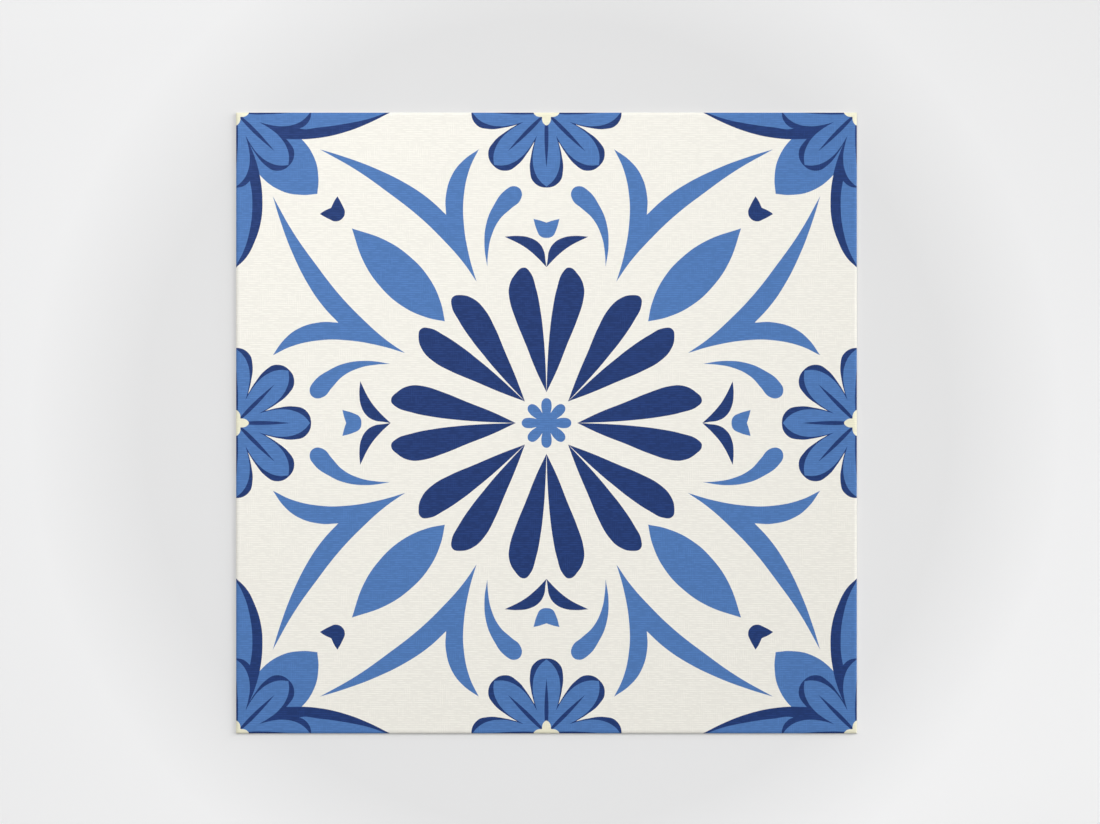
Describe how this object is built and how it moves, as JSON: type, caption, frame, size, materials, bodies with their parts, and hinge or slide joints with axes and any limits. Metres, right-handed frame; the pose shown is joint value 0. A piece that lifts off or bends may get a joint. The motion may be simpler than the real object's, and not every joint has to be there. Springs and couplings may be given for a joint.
{
  "type": "self-adhesive vinyl tile",
  "caption": "Thin square vinyl tile with a rolled upper rim, a linen-embossed blue and white ornamental face and a peel-off paper backing.",
  "frame": {"origin": "middle of the underside of the backing paper, which is what the tile lies on", "axes": "+Z out of the printed face, +X and +Y along the cut edges, +Y towards the edge at the top of the picture"},
  "size_m": [0.3, 0.3, 0.0016],
  "materials": {
    "printed_vinyl": "satin",
    "release_paper": "matte"
  },
  "bodies": {
    "root": {"vinyl_tile": "printed_vinyl", "release_liner": "release_paper"}
  },
  "joints": []
}
